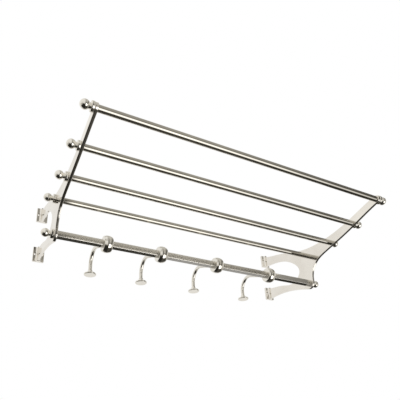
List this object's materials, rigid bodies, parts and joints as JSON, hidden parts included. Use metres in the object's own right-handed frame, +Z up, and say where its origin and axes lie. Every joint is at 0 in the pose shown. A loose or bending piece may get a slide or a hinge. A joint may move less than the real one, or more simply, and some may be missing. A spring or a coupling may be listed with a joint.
{
  "type": "wall rack",
  "caption": "Wall rack for towels or hats: flat shaped brackets hold round shelf bars and a lower square bar with sliding hooks, all with turned ball ends.",
  "frame": {"origin": "on the wall plane, at the centre of the pattern of wall screws: midway between the brackets and midway between the upper and lower feet", "axes": "+X along the bars to the right of someone facing the rack, -Y away from the wall, +Z up"},
  "size_m": [0.6008, 0.3552, 0.1472],
  "materials": {
    "bracket": "polished nickel plate on flat cast brackets",
    "round_bar": "polished nickel plate on drawn round bar",
    "square_bar": "polished nickel plate on drawn square bar",
    "finial": "polished nickel plate on turned ends",
    "hook": "polished nickel plate on turned and bent hooks",
    "stud": "plain zinc-plated steel, hidden"
  },
  "bodies": {
    "frame": {"left_bracket": "bracket", "right_bracket": "bracket", "hook_bar": "square_bar", "shelf_bar_1": "round_bar", "shelf_bar_2": "round_bar", "shelf_bar_3": "round_bar", "shelf_bar_4": "round_bar", "shelf_bar_1_left_stud": "stud", "shelf_bar_1_left_finial": "finial", "shelf_bar_1_right_stud": "stud", "shelf_bar_1_right_finial": "finial", "shelf_bar_2_left_stud": "stud", "shelf_bar_2_left_finial": "finial", "shelf_bar_2_right_stud": "stud", "shelf_bar_2_right_finial": "finial", "shelf_bar_3_left_stud": "stud", "shelf_bar_3_left_finial": "finial", "shelf_bar_3_right_stud": "stud", "shelf_bar_3_right_finial": "finial", "shelf_bar_4_left_stud": "stud", "shelf_bar_4_left_finial": "finial", "shelf_bar_4_right_stud": "stud", "shelf_bar_4_right_finial": "finial", "hook_bar_left_stud": "stud", "hook_bar_left_finial": "finial", "hook_bar_right_stud": "stud", "hook_bar_right_finial": "finial"},
    "hook_1": {"hook_1_collar": "hook", "hook_1_arm": "hook", "hook_1_button": "hook"},
    "hook_2": {"hook_2_collar": "hook", "hook_2_arm": "hook", "hook_2_button": "hook"},
    "hook_3": {"hook_3_collar": "hook", "hook_3_arm": "hook", "hook_3_button": "hook"},
    "hook_4": {"hook_4_collar": "hook", "hook_4_arm": "hook", "hook_4_button": "hook"}
  },
  "joints": [
    {"name": "hook_1_slide", "type": "slide", "parent": "frame", "child": "hook_1", "axis": [1, 0, 0], "range_m": [-0.07975, 0.0404]},
    {"name": "hook_2_slide", "type": "slide", "parent": "frame", "child": "hook_2", "axis": [1, 0, 0], "range_m": [-0.0404, 0.0484]},
    {"name": "hook_3_slide", "type": "slide", "parent": "frame", "child": "hook_3", "axis": [1, 0, 0], "range_m": [-0.0484, 0.05165]},
    {"name": "hook_4_slide", "type": "slide", "parent": "frame", "child": "hook_4", "axis": [1, 0, 0], "range_m": [-0.05165, 0.10175]}
  ]
}
